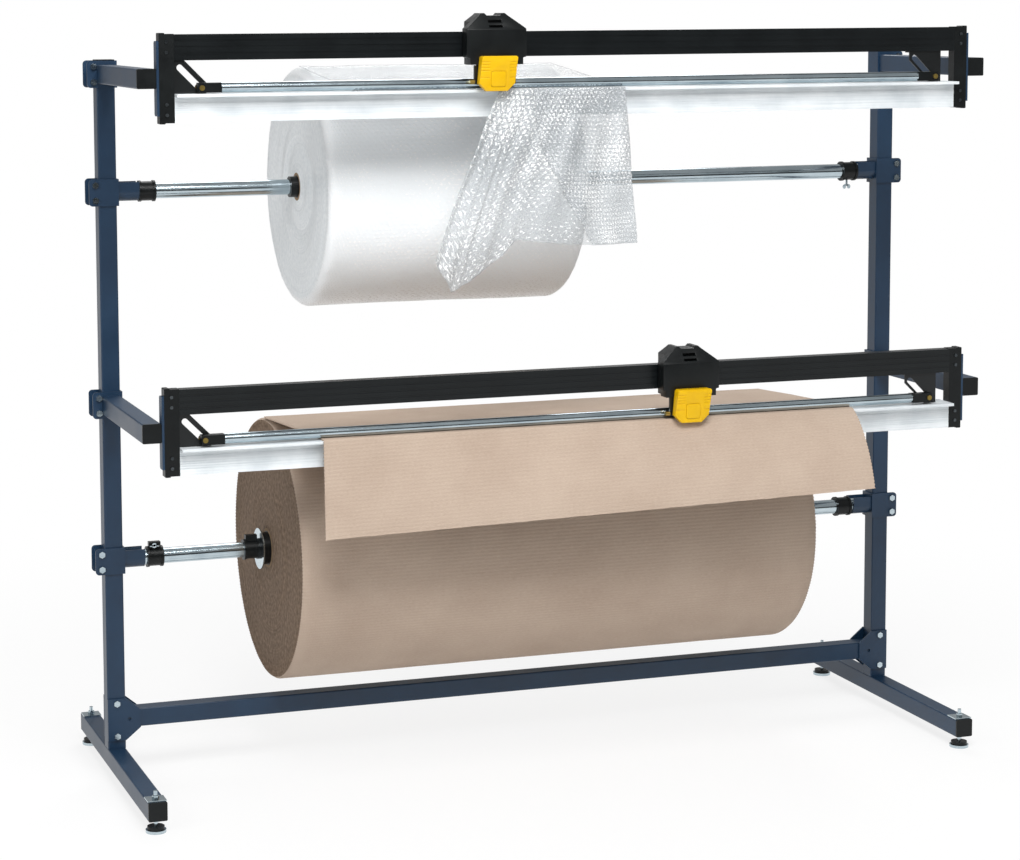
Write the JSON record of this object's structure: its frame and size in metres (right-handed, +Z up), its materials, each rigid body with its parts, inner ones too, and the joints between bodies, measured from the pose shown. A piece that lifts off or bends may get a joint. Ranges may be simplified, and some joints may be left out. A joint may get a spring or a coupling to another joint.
{
  "type": "two-tier roll stand with cutters",
  "caption": "Floor stand that carries a roll of bubble film above a roll of corrugated board, each with a sliding cross cutter on its arms.",
  "frame": {"origin": "on the floor, under the middle of the stand's outer box", "axes": "+X along the rolls to the right, +Y to the back, +Z up"},
  "size_m": [1.952, 0.853, 1.673],
  "materials": {
    "blue_paint": "satin",
    "black_plastic": "satin",
    "zinc": "bright zinc",
    "black_aluminium": "black anodised",
    "black_paint": "satin",
    "aluminium": "clear anodised",
    "white_glider": "plain",
    "yellow_plastic": "semi-gloss",
    "blade_steel": "ground",
    "brass": "dull",
    "core_board": "paper tube",
    "bubble_film": "translucent film",
    "corrugated_board": "kraft"
  },
  "bodies": {
    "frame": {"left_post": "blue_paint", "right_post": "blue_paint", "left_foot_tube": "blue_paint", "right_foot_tube": "blue_paint", "crossbar": "blue_paint", "square_end_caps": "black_plastic", "upper_left_arm": "blue_paint", "upper_right_arm": "blue_paint", "lower_left_arm": "blue_paint", "lower_right_arm": "blue_paint", "upper_cradles": "blue_paint", "lower_cradles": "blue_paint", "frame_bolts": "zinc", "frame_nuts": "zinc", "leveller_studs": "zinc", "leveller_hubs": "black_plastic", "leveller_nuts": "zinc", "leveller_plates": "zinc", "upper_guide_bar": "black_aluminium", "lower_guide_bar": "black_aluminium", "upper_cutting_rail": "aluminium", "lower_cutting_rail": "aluminium", "cutter_end_plates": "black_plastic", "end_plate_screws": "zinc", "hanger_plates": "black_paint", "film_sheet": "bubble_film", "board_sheet": "corrugated_board"},
    "upper_carriage": {"upper_carriage_housing": "black_plastic", "upper_gliders": "white_glider", "upper_knife_carrier": "black_paint", "upper_handle": "yellow_plastic", "upper_knife_knob": "brass"},
    "upper_button_body": {"upper_button": "yellow_plastic"},
    "upper_blade_body": {"upper_blade": "blade_steel"},
    "upper_press_bar": {"upper_press_tube": "zinc", "upper_tube_blocks": "black_plastic", "upper_slot_screws": "brass"},
    "lower_carriage": {"lower_carriage_housing": "black_plastic", "lower_gliders": "white_glider", "lower_knife_carrier": "black_paint", "lower_handle": "yellow_plastic", "lower_knife_knob": "brass"},
    "lower_button_body": {"lower_button": "yellow_plastic"},
    "lower_blade_body": {"lower_blade": "blade_steel"},
    "lower_press_bar": {"lower_press_tube": "zinc", "lower_tube_blocks": "black_plastic", "lower_slot_screws": "brass"},
    "film_spindle": {"upper_spindle": "zinc", "upper_collars": "black_plastic", "upper_core_plugs": "black_plastic", "film_core": "core_board", "film_roll": "bubble_film"},
    "board_spindle": {"lower_spindle": "zinc", "lower_collars": "black_plastic", "lower_core_plugs": "black_plastic", "core_discs": "zinc", "board_core": "core_board", "board_roll": "corrugated_board"}
  },
  "joints": [
    {"name": "upper_carriage_slide", "type": "slide", "parent": "frame", "child": "upper_carriage", "axis": [1, 0, 0], "range_m": [-0.56, 0.91]},
    {"name": "upper_button_press", "type": "slide", "parent": "upper_carriage", "child": "upper_button_body", "axis": [0, 1, 0], "range_m": [0, 0.002], "stiffness_N_per_m": 900, "springref_m": -0.001},
    {"name": "upper_blade_lower", "type": "slide", "parent": "upper_carriage", "child": "upper_blade_body", "axis": [0, 0, -1], "range_m": [0, 0.008]},
    {"name": "upper_press_bar_lift", "type": "slide", "parent": "frame", "child": "upper_press_bar", "axis": [-0.7071, 0, 0.7071], "range_m": [0, 0.0363]},
    {"name": "lower_carriage_slide", "type": "slide", "parent": "frame", "child": "lower_carriage", "axis": [1, 0, 0], "range_m": [-1, 0.465]},
    {"name": "lower_button_press", "type": "slide", "parent": "lower_carriage", "child": "lower_button_body", "axis": [0, 1, 0], "range_m": [0, 0.002], "stiffness_N_per_m": 900, "springref_m": -0.001},
    {"name": "lower_blade_lower", "type": "slide", "parent": "lower_carriage", "child": "lower_blade_body", "axis": [0, 0, -1], "range_m": [0, 0.008]},
    {"name": "lower_press_bar_lift", "type": "slide", "parent": "frame", "child": "lower_press_bar", "axis": [-0.7071, 0, 0.7071], "range_m": [0, 0.0325]},
    {"name": "film_spin", "type": "hinge", "parent": "frame", "child": "film_spindle", "pos_m": [0, 0.13246, 1.293], "axis": [1, 0, 0], "continuous": true},
    {"name": "board_spin", "type": "hinge", "parent": "frame", "child": "board_spindle", "pos_m": [0, 0.13246, 0.488], "axis": [1, 0, 0], "continuous": true}
  ],
  "couplings": [
    {"joint": "upper_blade_lower", "follows": "upper_button_press", "ratio": 4},
    {"joint": "lower_blade_lower", "follows": "lower_button_press", "ratio": 4}
  ]
}
